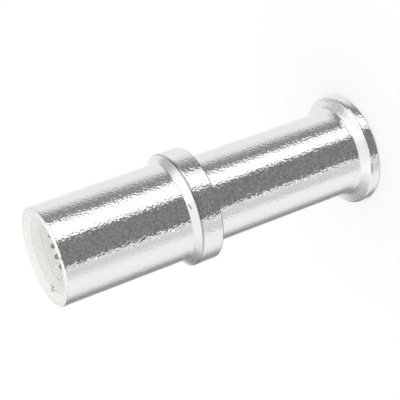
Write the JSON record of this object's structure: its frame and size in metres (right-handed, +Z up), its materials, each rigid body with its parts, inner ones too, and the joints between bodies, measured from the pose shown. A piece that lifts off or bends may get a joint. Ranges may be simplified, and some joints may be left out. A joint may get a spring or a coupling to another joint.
{
  "type": "female connector contact",
  "caption": "Turned silver-plated female power contact: open pin socket with an inner ring of spring louvres, a collar, and a crimp barrel with an end rim.",
  "frame": {"origin": "centre of the crimp end's face, on which the contact stands", "axes": "+Z up the turning axis, out of the socket's mouth; -Y towards the picture's camera; the cage's seam faces nearly -Y"},
  "size_m": [0.0138, 0.0138, 0.042],
  "materials": {
    "plated_body": "silver plating on turned brass, bright with a fine soft grain",
    "plated_spring": "silver plating on copper alloy spring sheet, bright and smooth"
  },
  "bodies": {
    "root": {"contact_body": "plated_body", "contact_cage": "plated_spring"}
  },
  "joints": []
}
